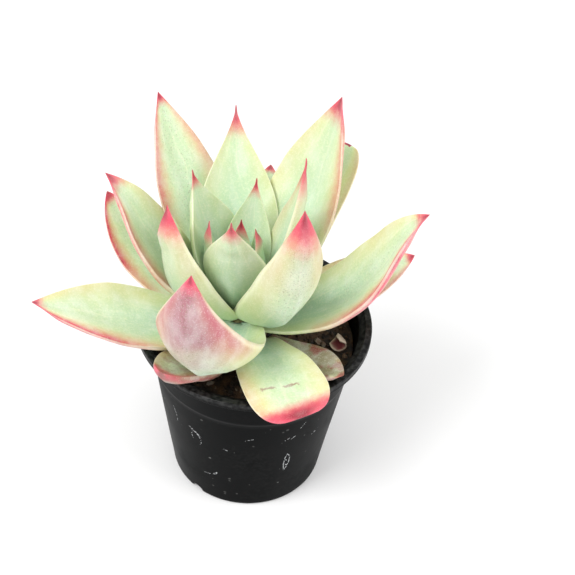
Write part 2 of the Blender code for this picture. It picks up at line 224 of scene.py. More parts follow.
class SucculentPotSettings(PropertyGroup):
    """Plastic nursery pot."""

    plastic: colour("Plastic", (0.0015, 0.0018, 0.002), "Black moulded plastic")
    # the dust colour also paints a grey sheen along the lip of the pot
    dust: colour("Dust", (0.30, 0.30, 0.29), "Dry dust and specks")
    rub: colour("Rubs", (0.55, 0.57, 0.58), "Chalky rubs on the wall")
    wall: length("Wall", MM, "Thickness of the wall")
    dent: length("Dents", 0.18 * MM, "How far the thin wall wanders from a true cone")
    turns: IntProperty(name="Turns", description="Points round the pot", default=180, min=32)


class SucculentMixSettings(PropertyGroup):
    """Potting mix, stem and dried scale."""

    dark: colour("Peat", (0.016, 0.012, 0.009), "Damp peat")
    brown: colour("Bark", (0.12, 0.06, 0.025), "Bark chips")
    grit: colour("Grit", (0.30, 0.27, 0.22), "Pale grit")
    stem: colour("Stem", (0.30, 0.30, 0.16), "Skin of the stem")
    scale_rim: colour("Scale rim", (0.72, 0.58, 0.44), "Papery rim of the dried scale")
    scale_inside: colour("Scale inside", (0.20, 0.02, 0.03), "Inside of the dried scale")
    crumbs: IntProperty(name="Crumbs", description="Crumbs on the mix", default=1100, min=0)


class SucculentStageSettings(PropertyGroup):
    """Floor, lights and camera."""

    floor: colour("Floor", (0.88, 0.88, 0.88), "Plain pale floor")
    key: FloatProperty(name="Key", description="Power of the key light", unit="POWER", default=5.6)
    fill: FloatProperty(name="Fill", description="Power of the fill", unit="POWER", default=2.4)
    sky: FloatProperty(name="Sky", description="Strength of the even light", default=0.85)
    lens: FloatProperty(
        name="Lens", description="Focal length", subtype="DISTANCE_CAMERA", default=73.8
    )
    distance: length("Distance", 0.45, "Camera to the point it looks at")
    elevation: FloatProperty(
        name="Elevation", description="Camera above the horizon", subtype="ANGLE",
        default=math.radians(42.5),
    )
    roll: FloatProperty(
        name="Roll", description="Camera roll", subtype="ANGLE", default=math.radians(5.0)
    )


# Shared tools


class Wiring:
    """Adds nodes to one tree and joins them; a value may be a socket, a number or a colour."""

    def __init__(self, tree):
        self.tree = tree

    def node(self, kind, **settings):
        made = self.tree.nodes.new(kind)
        for key, value in settings.items():
            setattr(made, key, value)
        return made

    def feed(self, socket, value):
        if isinstance(value, bpy.types.NodeSocket):
            self.tree.links.new(value, socket)
        elif socket.type == "RGBA":
            socket.default_value = (*tuple(value)[:3], 1.0)
        else:
            socket.default_value = value

    def math(self, operation, a, b=0.0, clamp=False):
        made = self.node("ShaderNodeMath", operation=operation, use_clamp=clamp)
        self.feed(made.inputs[0], a)
        self.feed(made.inputs[1], b)
        return made.outputs[0]

    def times(self, *values):
        result = values[0]
        for value in values[1:]:
            result = self.math("MULTIPLY", result, value)
        return result

    def ease(self, value, low, high):
        """0 below low and 1 above high, smoothly; reversed where low is above high."""
        made = self.node("ShaderNodeMapRange", interpolation_type="SMOOTHSTEP")
        for index, item in enumerate((value, low, high)):
            self.feed(made.inputs[index], item)
        return made.outputs[0]

    def mix(self, factor, a, b):
        made = self.node("ShaderNodeMix", data_type="RGBA")
        for index, item in ((0, factor), (6, a), (7, b)):
            self.feed(made.inputs[index], item)
        return made.outputs[2]

    def noise(self, vector, scale, detail=3.0):
        made = self.node("ShaderNodeTexNoise")
        self.feed(made.inputs["Vector"], vector)
        self.feed(made.inputs["Scale"], scale)
        made.inputs["Detail"].default_value = detail
        return made.outputs[0]

    def stretched(self, vector, factors):
        made = self.node("ShaderNodeVectorMath", operation="MULTIPLY")
        self.feed(made.inputs[0], vector)
        made.inputs[1].default_value = factors
        return made.outputs[0]

    def place(self):
        """Position of the shaded point in the piece's own coordinates."""
        return self.node("ShaderNodeTexCoord").outputs["Object"]

    def attribute(self, name):
        return self.node("ShaderNodeAttribute", attribute_name=name).outputs["Fac"]

    def group(self, name, **values):
        """A shared group with its inputs fed by name."""
        made = self.node("ShaderNodeGroup", node_tree=bpy.data.node_groups[name])
        for key, value in values.items():
            self.feed(made.inputs[key.capitalize()], value)
        return made

    def mask(self, name, **values):
        return self.group(name, **values).outputs[0]


def new_group(name, inputs, outputs):
    """An empty shader group with its sockets: (wiring, input sockets, output node)."""
    tree = bpy.data.node_groups.new(name, "ShaderNodeTree")
    kinds = {"value": "NodeSocketFloat", "colour": "NodeSocketColor", "vector": "NodeSocketVector"}
    for way, sockets in (("INPUT", inputs), ("OUTPUT", outputs)):
        for label, kind in sockets:
            tree.interface.new_socket(label, in_out=way, socket_type=kinds[kind])
    wiring = Wiring(tree)
    return wiring, wiring.node("NodeGroupInput").outputs, wiring.node("NodeGroupOutput").inputs


def make_specks_group():
    """Scattered small dots: Share of the cells that hold one, and their Size."""
    inputs = [("Vector", "vector"), ("Scale", "value"), ("Share", "value"), ("Size", "value")]
    wiring, given, out = new_group("succulent_specks", inputs, [("Mask", "value")])
    cells = wiring.node("ShaderNodeTexVoronoi")
    wiring.feed(cells.inputs["Vector"], given["Vector"])
    wiring.feed(cells.inputs["Scale"], given["Scale"])
    pick = wiring.node("ShaderNodeSeparateColor")
    wiring.feed(pick.inputs[0], cells.outputs["Color"])
    chosen = wiring.math("LESS_THAN", pick.outputs[0], given["Share"])
    grown = wiring.times(given["Size"], wiring.math("ADD", pick.outputs[1], 0.4))
    dot = wiring.ease(cells.outputs["Distance"], grown, wiring.times(grown, 0.5))
    wiring.feed(out["Mask"], wiring.times(chosen, dot))


def make_mottle_group():
    """Soft patches: Low and High bound the part of the noise that shows."""
    inputs = [("Vector", "vector"), ("Scale", "value"), ("Low", "value"), ("High", "value")]
    wiring, given, out = new_group("succulent_mottle", inputs, [("Mask", "value")])
    cloud = wiring.noise(given["Vector"], given["Scale"], 4.0)
    wiring.feed(out["Mask"], wiring.ease(cloud, given["Low"], given["High"]))


WAX, POWDER = (0.84, 0.89, 0.84), (0.92, 0.94, 0.90)
LEAF_PLACES = ("along", "side", "back")
LEAF_PAINTS = ("green", "blue", "yellow", "cream", "blush", "orange", "point", "mauve", "olive")


def make_leaf_group():
    """Paints a leaf from its own coordinates: Along from foot to tip, Side, and Back."""
    inputs = [(n.capitalize(), "value") for n in (*LEAF_PLACES, *Look._fields, "bloom")]
    inputs += [(n.capitalize(), "colour") for n in LEAF_PAINTS]
    outputs = [("Color", "colour"), ("Roughness", "value"), ("Height", "value")]
    wiring, given, out = new_group("succulent_leaf_skin", inputs, outputs)
    place = wiring.place()
    along, side = given["Along"], given["Side"]
    edge = wiring.math("ABSOLUTE", side)
    broad = wiring.noise(place, 55.0, 2.0)
    fine = wiring.noise(place, 420.0, 3.0)
    wander = wiring.math("SUBTRACT", broad, 0.5)
    soft = wiring.math("SUBTRACT", fine, 0.5)

    # flesh: blue-green at the foot and along the middle, yellow-green outwards; the darker
    # blue-green at the foot is partly its waxy tone and partly painted shade where the leaves crowd
    rim = wiring.math("ADD", edge, wiring.times(wander, 0.7))
    warmth = wiring.times(given["Warm"], wiring.ease(rim, 0.15, 0.95))
    outwards = wiring.times(given["Warm"], wiring.ease(along, 0.1, 0.8), 0.35)
    warmth = wiring.math("ADD", warmth, outwards)
    flesh = wiring.mix(wiring.math("MINIMUM", warmth, 1.0), given["Green"], given["Yellow"])
    foot_tone_and_shade = wiring.times(wiring.ease(along, 0.75, 0.05), wiring.ease(edge, 0.9, 0.1), 0.75)
    flesh = wiring.mix(foot_tone_and_shade, flesh, given["Blue"])

    # pale stripes that run lengthwise
    lane = wiring.node("ShaderNodeCombineXYZ")
    drift = wiring.times(broad, 2.0)
    wiring.feed(lane.inputs[0], wiring.math("ADD", wiring.times(side, 5.0), drift))
    wiring.feed(lane.inputs[1], wiring.times(along, 1.3))
    stripe = wiring.ease(wiring.noise(lane.outputs[0], 1.6, 2.0), 0.5, 0.75)
    stripe = wiring.times(stripe, wiring.ease(edge, 1.0, 0.6), 0.3)
    flesh = wiring.mix(stripe, flesh, given["Cream"])
    grain = wiring.ease(wiring.noise(place, 1100.0, 2.0), 0.45, 0.75)
    flesh = wiring.mix(wiring.times(grain, 0.3), flesh, given["Cream"])

    # outer face: mauve from the tip down, greyer and stippled towards the foot
    outer = wiring.times(given["Outer"], given["Back"])
    reach = wiring.math("ADD", along, wiring.times(wander, 0.5))
    sunlit = wiring.times(outer, wiring.ease(reach, 0.3, 0.8), 0.95)
    flesh = wiring.mix(sunlit, flesh, given["Mauve"])
    dots = wiring.mask("succulent_specks", vector=place, scale=1500.0, share=0.5, size=0.45)
    middle = wiring.times(wiring.ease(edge, 0.95, 0.2), wiring.ease(reach, 0.2, 0.5))
    dotted = wiring.times(given["Stipple"], dots, middle)
    flesh = wiring.mix(wiring.times(dotted, 0.6), flesh, given["Olive"])

    # blush along each margin, then the clear cream line at the very edge
    rise = wiring.ease(reach, 0.15, 0.7)
    for name, sign in (("Right", 1.0), ("Left", -1.0)):
        near = wiring.math("ADD", wiring.times(side, sign), wiring.times(soft, 0.25))
        mask = wiring.times(given[name], wiring.ease(near, 0.4, 0.95), rise)
        warm = wiring.mix(wiring.ease(near, 0.6, 1.0), given["Orange"], given["Blush"])
        flesh = wiring.mix(mask, flesh, warm)
        hair = wiring.times(given[name], wiring.ease(near, 0.95, 1.0), rise, 0.5)
        flesh = wiring.mix(hair, flesh, given["Point"])
    line = wiring.times(wiring.ease(edge, 0.96, 0.998), wiring.ease(along, 0.98, 0.8), 0.45)
    flesh = wiring.mix(line, flesh, given["Cream"])

    # pink tip fading down the leaf, dark red at its point
    near_tip = wiring.math("ADD", along, wiring.times(soft, 0.05))
    cuts = [wiring.math("SUBTRACT", 1.0, wiring.times(given["Tip"], k)) for k in (1, 0.3, 0.6, 0.12)]
    pink = wiring.ease(near_tip, *cuts[:2])
    flesh = wiring.mix(wiring.times(pink, 0.95), flesh, given["Blush"])
    core = wiring.times(wiring.ease(near_tip, *cuts[2:]), wiring.ease(edge, 0.95, 0.15), 0.85)
    flesh = wiring.mix(core, flesh, given["Point"])

    # scars: short torn streaks across the leaf
    slant = wiring.math("ADD", along, wiring.times(side, 0.06))
    off = wiring.math("ABSOLUTE", wiring.math("SUBTRACT", slant, 0.68))
    streak = wiring.ease(wiring.math("ADD", off, wiring.times(soft, 0.08)), 0.016, 0.002)
    inner = wiring.math("ABSOLUTE", wiring.math("ADD", side, 0.12))
    outer_side = wiring.math("ABSOLUTE", wiring.math("SUBTRACT", side, 0.42))
    gaps = wiring.math("ADD", wiring.ease(inner, 0.24, 0.16), wiring.ease(outer_side, 0.22, 0.14))
    torn = wiring.times(given["Scar"], streak, gaps)
    flesh = wiring.mix(wiring.times(torn, 0.6), flesh, given["Point"])

    # age, then the wax bloom over everything
    drying, bruises = ("Olive", 140.0, 0.2, 0.5, 0.9), ("Point", 230.0, 0.5, 0.62, 0.6)
    for paint, scale, low, high, depth in (drying, bruises):
        patch = wiring.mask("succulent_mottle", vector=place, scale=scale, low=low, high=high)
        flesh = wiring.mix(wiring.times(given["Age"], patch, depth), flesh, given[paint])
    drawn = wiring.stretched(place, (1.0, 1.0, 0.35))
    wax = wiring.ease(wiring.noise(drawn, 210.0, 5.0), 0.35, 0.75)
    kept = wiring.math("SUBTRACT", 1.0, wiring.times(pink, 0.7))
    wax = wiring.times(given["Bloom"], wax, kept)
    flesh = wiring.mix(wax, flesh, WAX)
    powder = wiring.mask("succulent_specks", vector=place, scale=3200.0, share=0.4, size=0.5)
    powder = wiring.times(powder, given["Bloom"], kept)
    flesh = wiring.mix(powder, flesh, POWDER)
    wiring.feed(out["Color"], flesh)
    wiring.feed(out["Roughness"], wiring.math("ADD", 0.40, wiring.times(wax, 0.6), clamp=True))
    relief = wiring.math("ADD", wiring.times(fine, 0.5), wiring.times(dotted, -0.5))
    wiring.feed(out["Height"], wiring.math("SUBTRACT", relief, torn))


def new_material(name):
    """A material with its wiring and its Principled shader."""
    made = bpy.data.materials.new(name)
    made.use_nodes = True
    return made, Wiring(made.node_tree), made.node_tree.nodes["Principled BSDF"]


def add_bump(wiring, shader, height, strength, distance):
    bump = wiring.node("ShaderNodeBump")
    bump.inputs["Strength"].default_value = strength
    bump.inputs["Distance"].default_value = distance
    wiring.feed(bump.inputs["Height"], height)
    wiring.feed(shader.inputs["Normal"], bump.outputs[0])


def new_object(name, data):
    made = bpy.data.objects.new(name, data)
    bpy.context.scene.collection.objects.link(made)
    return made


def add_piece(name, points, faces, material, node=None):
    """A smooth mesh that rides on the root body, with its material, and stands for a CAD node."""
    mesh = bpy.data.meshes.new(name)
    mesh.from_pydata([tuple(map(float, p)) for p in points], [], faces)
    mesh.update()
    mesh.shade_smooth()
    piece = new_object(name, mesh)
    mesh.materials.append(material)
    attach(piece, "root")
    if node:
        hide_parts(node)
    return piece


def set_attribute(piece, name, values):
    made = piece.data.attributes.new(name, "FLOAT", "POINT")
    made.data.foreach_set("value", np.asarray(values, np.float32))


def turned(points, turns):
    """Rings of a lathe profile of (radius, z) points, and the faces that join them."""
    angles = 2 * math.pi * np.arange(turns) / turns
    rings = [(r * math.cos(a), r * math.sin(a), z) for r, z in points for a in angles]
    faces = []
    for row in range(len(points) - 1):
        for k in range(turns):
            a, b = row * turns + k, row * turns + (k + 1) % turns
            faces.append((a, b, b + turns, a + turns))
    return rings, faces


# Leaves

SPINE_STEPS = 240  # short steps along a leaf's middle line
TIP_CROWDING = 1.35  # rings crowd towards the tip where this is above 1
SPINE_LENGTH = 2.4 * MM  # length over which the hard tip rounds off
WAVE_SCALE, WAVE_HEIGHT = 85.0, 0.55 * MM


def stem_centre(z):
    """The stem leans a little to the left as it rises."""
    up = z - 72.0 * MM
    return -3.5 * MM - 0.2 * up, -1.0 * MM + 0.08 * up


def leaf_frame(leaf, s):
    """Unit vectors along, up and across the leaf at each share s of its length."""
    heading, sweep, hook = map(math.radians, (leaf.heading, leaf.sweep, leaf.hook))
    rise = np.radians(leaf.rise + (leaf.tip_rise - leaf.rise) * s)
    rise = rise + hook * np.clip((s - 0.7) / 0.3, 0.0, None) ** 1.5
    side = heading + sweep * s**1.5
    flat = np.stack([np.cos(side), np.sin(side), np.zeros_like(s)], -1)
    lift = np.array([0.0, 0.0, 1.0])
    along = flat * np.cos(rise)[:, None] + lift * np.sin(rise)[:, None]
    up = lift * np.cos(rise)[:, None] - flat * np.sin(rise)[:, None]
    across = np.cross(along, up)
    turn = np.radians(leaf.twist) * s[:, None]
    return (
        along,
        up * np.cos(turn) + across * np.sin(turn),
        across * np.cos(turn) - up * np.sin(turn),
    )


def width_share(s, form):
    """Share of the full width: a broad foot, a belly and a drawn-out point."""
    swell = form.foot + (1.0 - form.foot) * np.sin(math.pi / 2 * np.minimum(s / form.belly, 1.0))
    left = np.clip((1.0 - s) / (1.0 - form.belly), 0.0, 1.0)
    return np.where(s < form.belly, swell, np.sin(math.pi / 2 * left**0.85) ** form.point)


def leaf_mesh(name, settings):
    """Points, faces and the leaf coordinates of every point."""
    leaf, rank = LEAVES[name], list(LEAVES).index(name)
    form = FORMS[leaf.form]
    size, half_width, thick = leaf.length * MM, leaf.width * MM / 2, form.thick * MM
    seat, foot_z = SEAT_FIRST + SEAT_STEP * rank, HEIGHT_FIRST - HEIGHT_STEP * rank
    heading = math.radians(leaf.heading)
    x, y = stem_centre(foot_z)
    foot = np.array([x + seat * math.cos(heading), y + seat * math.sin(heading), foot_z])

    middles = (np.arange(SPINE_STEPS) + 0.5) / SPINE_STEPS
    walk = np.cumsum(leaf_frame(leaf, middles)[0] * size / SPINE_STEPS, axis=0)
    spine = np.vstack([foot, foot + walk])
    s = 1.0 - (1.0 - np.linspace(0.0, 1.0, settings.stations)[:-1]) ** TIP_CROWDING
    grid = np.linspace(0.0, 1.0, SPINE_STEPS + 1)
    centre = np.stack([np.interp(s, grid, spine[:, k]) for k in range(3)], -1)
    _, up, across = leaf_frame(leaf, s)

    belly = width_share(s, form)
    hard = settings.spine * np.clip((1.0 - s) * size / SPINE_LENGTH, 0.0, 1.0) ** 0.5
    half = np.maximum(half_width * belly, hard)
    body = 0.55 + 0.45 * np.sin(math.pi * np.minimum(s / 0.7, 1.0))
    depth = thick * body * np.minimum(1.0, (1.0 - s) / 0.12) ** 0.5 * np.minimum(1.0, belly * 2.2)
    depth = np.maximum(depth, hard)
    rows, n = len(s), settings.around
    angle = 2 * math.pi * np.arange(n) / n
    cos, sin = np.cos(angle), np.sin(angle)
    mid = np.exp(-((cos / 0.16) ** 2))
    top = settings.margin * np.clip(sin, 0, 1) ** 0.5
    hollow = form.groove * mid * (sin > 0)
    height = form.cup * half[:, None] * cos**2 + top * np.minimum(1.0, belly * 2)[:, None]
    height = height - half[:, None] * hollow * np.sin(math.pi * np.clip(s, 0, 1))[:, None]
    ridge = (np.clip(-sin, 0, 1) ** 0.8) * (1.0 + form.keel * mid)
    height = height - depth[:, None] * ridge
    points = (
        centre[:, None]
        + across[:, None] * (half[:, None] * cos)[..., None]
        + up[:, None] * height[..., None]
    ).reshape(-1, 3)

    # the flesh is never quite even
    shift = Vector((3.7 * rank, 1.3 * rank, 0.0))
    ups = np.repeat(up, n, axis=0)
    waves = np.array([noise.noise(Vector(p) * WAVE_SCALE + shift) for p in points])
    fade = np.repeat(np.clip((1.0 - s) * 4.0, 0.0, 1.0) * np.clip(s * 6.0, 0.0, 1.0), n)
    points = points + ups * (waves * fade * WAVE_HEIGHT)[:, None]

    points = np.vstack([points, spine[-1], centre[0]])
    faces = []
    for row in range(rows - 1):
        for k in range(n):
            a, b = row * n + k, row * n + (k + 1) % n
            faces.append((a, a + n, b + n, b))
    last, tip, base = (rows - 1) * n, rows * n, rows * n + 1
    for k in range(n):
        faces.append((last + k, tip, last + (k + 1) % n))
        faces.append((k, (k + 1) % n, base))
    along = np.concatenate([np.repeat(s, n), [1.0, 0.0]])
    side = np.concatenate([np.tile(cos, rows), [0.0, 0.0]])
    back = np.concatenate([np.tile(np.clip(-sin * 3.0, 0, 1), rows), [0.5, 0.5]])
    return points, faces, along, side, back


def leaf_material(name, settings):
    """Skin of one leaf: its own look and coordinates, and the paints that all leaves share."""
    made, wiring, shader = new_material("leaf_" + name + "_skin")
    values = LOOKS[name]._asdict()
    for place in LEAF_PLACES:
        values[place] = wiring.attribute(place)
    for key in ("bloom", *LEAF_PAINTS):
        values[key] = getattr(settings, key)
    skin = wiring.group("succulent_leaf_skin", **values)
    wiring.feed(shader.inputs["Base Color"], skin.outputs["Color"])
    wiring.feed(shader.inputs["Roughness"], skin.outputs["Roughness"])
    shader.inputs["Subsurface Weight"].default_value = 0.12
    shader.inputs["Subsurface Radius"].default_value = (0.9, 1.0, 0.4)
    shader.inputs["Subsurface Scale"].default_value = 1.2 * MM
    add_bump(wiring, shader, skin.outputs["Height"], 0.35, 0.12 * MM)
    return made


class SUCCULENT_OT_add_leaves(Operator):
    """Builds every leaf as a fleshy, cupped and keeled body in place of its plain solid"""

    bl_idname = "succulent.add_leaves"
    bl_label = "Add Leaves"

    def execute(self, context):
        settings = context.scene.succulent_leaves
        make_leaf_group()
        for name in LEAVES:
            node = "leaf_" + name
            points, faces, *places = leaf_mesh(name, settings)
            material = leaf_material(name, settings)
            piece = add_piece(node + "_flesh", points, faces, material, node)
            for place, values in zip(LEAF_PLACES, places):
                set_attribute(piece, place, values)
        return {"FINISHED"}


# Pot

STEP_Z, SHOULDER_IN, LIP_DEPTH = 58.5 * MM, 3.6 * MM, 3.0 * MM
FOOT_RADIUS = RIM_RADIUS - 14.0 * MM
DRAIN_COUNT, DRAIN_FIRST, DRAIN_RADIUS = 3, math.radians(234.0), 2.8 * MM


def outer_radius(z):
    """Radius of the pot's outer wall; it steps out a little at the collar."""
    slope = (RIM_RADIUS - SHOULDER_IN - FOOT_RADIUS) / POT_HEIGHT
    return FOOT_RADIUS + slope * z - (0.5 * MM if z < STEP_Z else 0.0)


def round_corner(centre, radius, first, last, count=7):
    """Points of an arc in the (radius, z) plane between two angles in degrees."""
    angles = [math.radians(first + (last - first) * k / (count - 1)) for k in range(count)]
    return [(centre[0] + radius * math.cos(a), centre[1] + radius * math.sin(a)) for a in angles]


def pot_outline(wall):
    """Half section of the pot without its middle points: underneath, outside, then inside."""
    top, rim = POT_HEIGHT, RIM_RADIUS
    outline = [(12.0 * MM, 0.0), (22.0 * MM, 0.0), (27.0 * MM, 0.0)]
    corner = 1.2 * MM
    outline += round_corner((outer_radius(corner) - corner, corner), corner, -90, -8)
    heights = np.linspace(3.0 * MM, STEP_Z - 1.8 * MM, 34)
    outline += [(outer_radius(z), z) for z in heights]
    collar = outer_radius(STEP_Z)
    outline += [(collar - 0.2 * MM, STEP_Z - 0.5 * MM), (collar, STEP_Z)]
    heights = np.linspace(STEP_Z + 0.6 * MM, top - LIP_DEPTH - 0.6 * MM, 9)
    outline += [(outer_radius(z), z) for z in heights]
    outline += [(rim - 1.3 * MM, top - LIP_DEPTH)]
    outline += round_corner((rim - 0.6 * MM, top - LIP_DEPTH + 0.6 * MM), 0.6 * MM, -90, 0)
    outline += [(rim - 0.12 * MM, top - 1.5 * MM)]
    outline += round_corner((rim - 0.6 * MM, top - 0.6 * MM), 0.6 * MM, 0, 90)
    outline += [(rim - 1.5 * MM, top - 0.16 * MM)]
    outline += round_corner((rim - 2.3 * MM, top - 0.5 * MM), 0.5 * MM, 90, 180)
    inner = [top - 1.8 * MM, top - 4.0 * MM, STEP_Z + 4.0 * MM, STEP_Z + 0.5 * MM]
    outline += [(outer_radius(z) - wall, z) for z in inner]
    outline += [(outer_radius(z) - wall, z) for z in np.linspace(STEP_Z - 1.2 * MM, 5.0 * MM, 12)]
    return outline + [(26.8 * MM, 1.7 * MM), (12.0 * MM, 1.6 * MM)]


def pot_material(settings):
    made, wiring, shader = new_material("pot_plastic_black")
    place = wiring.place()
    parts = wiring.node("ShaderNodeSeparateXYZ")
    wiring.feed(parts.inputs[0], place)
    fine = wiring.mask("succulent_specks", vector=place, scale=620.0, share=0.035, size=0.38)
    coarse = wiring.mask("succulent_specks", vector=place, scale=260.0, share=0.02, size=0.2)
    cloud = wiring.mask("succulent_mottle", vector=place, scale=48.0, low=0.42, high=0.75)
    thin = wiring.mask("succulent_mottle", vector=place, scale=600.0, low=0.35, high=0.75)
    specks = wiring.times(wiring.math("MAXIMUM", fine, coarse), 0.55)
    specks = wiring.times(specks, wiring.math("ADD", cloud, 0.25, clamp=True))
    # painted sheen: the lip mask lays the dust colour over the top of the rim, partly dust and
    # partly the grey sheen of the lit lip
    lip = wiring.ease(parts.outputs[2], POT_HEIGHT - 3.4 * MM, POT_HEIGHT - 0.4 * MM)
    dust_film_and_lip_sheen = wiring.times(cloud, thin, 0.03)
    dust_film_and_lip_sheen = wiring.math("ADD", dust_film_and_lip_sheen, wiring.times(lip, thin, 0.10))
    dust = wiring.math("ADD", specks, dust_film_and_lip_sheen, clamp=True)
    wiring.feed(shader.inputs["Base Color"], wiring.mix(dust, settings.plastic, settings.dust))
    rough = wiring.math("ADD", 0.36, wiring.times(cloud, 0.14))
    rough = wiring.math("ADD", rough, wiring.times(dust, 0.4), clamp=True)
    wiring.feed(shader.inputs["Roughness"], rough)
    shader.inputs["Specular IOR Level"].default_value = 0.03
    wiring.feed(shader.inputs["Coat Weight"], wiring.times(lip, 0.3))
    shader.inputs["Coat Roughness"].default_value = 0.25
    grain = wiring.noise(place, 900.0, 2.0)
    add_bump(wiring, shader, wiring.math("ADD", grain, dust), 0.25, 0.06 * MM)
    return made


def rub_material(settings):
    made, wiring, shader = new_material("pot_rub_chalk")
    place = wiring.place()
    tone = wiring.noise(place, 500.0, 3.0)
    pale = tuple(min(1.0, c * 1.25) for c in settings.rub)
    dim = tuple(c * 0.45 for c in settings.rub)
    wiring.feed(shader.inputs["Base Color"], wiring.mix(tone, dim, pale))
    wiring.feed(shader.inputs["Alpha"], wiring.ease(wiring.noise(place, 1300.0, 2.0), 0.40, 0.56))
    shader.inputs["Roughness"].default_value = 0.85
    return made


def add_drain_cutter():
    """One short rod across the foot of the wall for each notch, joined in one mesh."""
    work = bmesh.new()
    for k in range(DRAIN_COUNT):
        angle = DRAIN_FIRST + 2 * math.pi * k / DRAIN_COUNT
        place = Matrix.Rotation(angle, 4, "Z") @ Matrix.Translation((30.0 * MM, 0.0, 0.2 * MM))
        place = place @ Matrix.Rotation(math.pi / 2, 4, "Y")
        bmesh.ops.create_cone(
            work, cap_ends=True, segments=28, radius1=DRAIN_RADIUS, radius2=DRAIN_RADIUS,
            depth=11.0 * MM, matrix=place,
        )
    mesh = bpy.data.meshes.new("drain_cutter")
    work.to_mesh(mesh)
    work.free()
    return new_object("drain_cutter", mesh)


def ribbon(points, width):
    """A thin tapering strip along the pot wall through (azimuth deg, height mm) points."""
    places = np.array(points, float)
    count = 8 * (len(places) - 1) + 1
    t = np.linspace(0, len(places) - 1, count)
    azimuth = np.radians(np.interp(t, range(len(places)), places[:, 0]))
    z = np.interp(t, range(len(places)), places[:, 1]) * MM
    radius = np.array([outer_radius(h) for h in z]) + 0.06 * MM
    centre = np.stack([radius * np.cos(azimuth), radius * np.sin(azimuth), z], -1)
    away = np.stack([np.cos(azimuth), np.sin(azimuth), 0 * z], -1)
    run = np.gradient(centre, axis=0)
    run /= np.linalg.norm(run, axis=1)[:, None]
    across = np.cross(away, run)
    taper = np.sin(math.pi * (0.08 + 0.84 * np.linspace(0, 1, count))) ** 0.6
    half = across * (width * MM / 2 * taper)[:, None]
    lift = away * 0.05 * MM
    strip = np.stack([centre - half, centre + lift, centre + half], 1).reshape(-1, 3)
    faces = []
    for k in range(count - 1):
        a = 3 * k
        faces += [(a, a + 3, a + 4, a + 1), (a + 1, a + 4, a + 5, a + 2)]
    return strip, faces


class SUCCULENT_OT_add_pot(Operator):
    """Turns the thin nursery pot with its collar, rolled lip, drain notches and chalky rubs"""

    bl_idname = "succulent.add_pot"
    bl_label = "Add Pot"

    def execute(self, context):
        settings = context.scene.succulent_pot
        points, faces = turned(pot_outline(settings.wall), settings.turns)
        points = np.array(points)
        first, last = len(points), len(points) + 1
        floor_top = points[-1][2]
        points = np.vstack([points, (0.0, 0.0, 0.0), (0.0, 0.0, floor_top)])
        end = first - settings.turns
        for k in range(settings.turns):
            n = (k + 1) % settings.turns
            faces.append((first, n, k))
            faces.append((last, end + k, end + n))
        radii = np.hypot(points[:, 0], points[:, 1])
        for k in range(first):
            x, y, z = points[k]
            wave = noise.noise(Vector((x, y, z * 0.6)) * 38.0) * settings.dent
            fade = min(1.0, z / (8.0 * MM)) * min(1.0, max(0.0, (POT_HEIGHT - z) / (8.0 * MM)))
            points[k, :2] *= 1.0 + wave * fade / radii[k]
        pot = add_piece("nursery_pot", points, faces, pot_material(settings), "pot")
        cutter = add_drain_cutter()
        cut = pot.modifiers.new("drain", "BOOLEAN")
        cut.operation, cut.solver, cut.object = "DIFFERENCE", "EXACT", cutter
        graph = context.evaluated_depsgraph_get()
        context.view_layer.update()
        mesh = bpy.data.meshes.new_from_object(pot.evaluated_get(graph))
        pot.modifiers.clear()
        pot.data = mesh
        bpy.data.objects.remove(cutter)
        if len(mesh.polygons) <= len(faces) // 2:
            raise RuntimeError("the drain notches removed most of the pot")
        mesh.set_sharp_from_angle(angle=math.radians(38.0))
        chalk = rub_material(settings)
        all_points, all_faces = [], []
        for width, path in RUBS:
            strip, strip_faces = ribbon(path, width)
            base = len(all_points)
            all_points += list(strip)
            all_faces += [tuple(base + i for i in face) for face in strip_faces]
        add_piece("pot_rubs", all_points, all_faces, chalk)
        return {"FINISHED"}


# Potting mix, stem and dried scale


def mix_height(x, y):
    """Uneven top of the mix, low at the wall."""
    flat = Vector((x, y, 0.0))
    edge = (math.hypot(x, y) / SOIL_RADIUS) ** 4
    lumps = noise.noise(flat * 130.0) * 0.55 + noise.noise(flat * 420.0) * 0.3
    return SOIL_BOX[1].z - (0.45 + 0.8 * edge) * MM + lumps * MM


def make_earth_group():
    """Grainy patches of a pale colour on a dark one, damp where the grain is high."""
    inputs = [("Vector", "vector"), ("Scale", "value"), ("Rough", "value")]
    inputs += [("Dark", "colour"), ("Pale", "colour")]
    outputs = [("Color", "colour"), ("Roughness", "value"), ("Height", "value")]
    wiring, given, out = new_group("succulent_earth", inputs, outputs)
    patch = wiring.mask(
        "succulent_mottle", vector=given["Vector"], scale=given["Scale"], low=0.35, high=0.7
    )
    grain = wiring.noise(given["Vector"], wiring.times(given["Scale"], 5.0), 4.0)
    tone = wiring.times(patch, wiring.math("ADD", grain, 0.3, clamp=True))
    wiring.feed(out["Color"], wiring.mix(tone, given["Dark"], given["Pale"]))
    wet = wiring.math("SUBTRACT", given["Rough"], wiring.times(grain, 0.25))
    wiring.feed(out["Roughness"], wet)
    wiring.feed(out["Height"], grain)


def earth_material(name, dark, pale, rough, scale):
    made, wiring, shader = new_material(name)
    place = wiring.place()
    earth = wiring.group(
        "succulent_earth", vector=place, scale=scale, rough=rough, dark=dark, pale=pale
    )
    wiring.feed(shader.inputs["Base Color"], earth.outputs["Color"])
    wiring.feed(shader.inputs["Roughness"], earth.outputs["Roughness"])
    add_bump(wiring, shader, earth.outputs["Height"], 0.8, 0.4 * MM)
    return made


FULL_TURN = 6.3  # radians, just over one turn


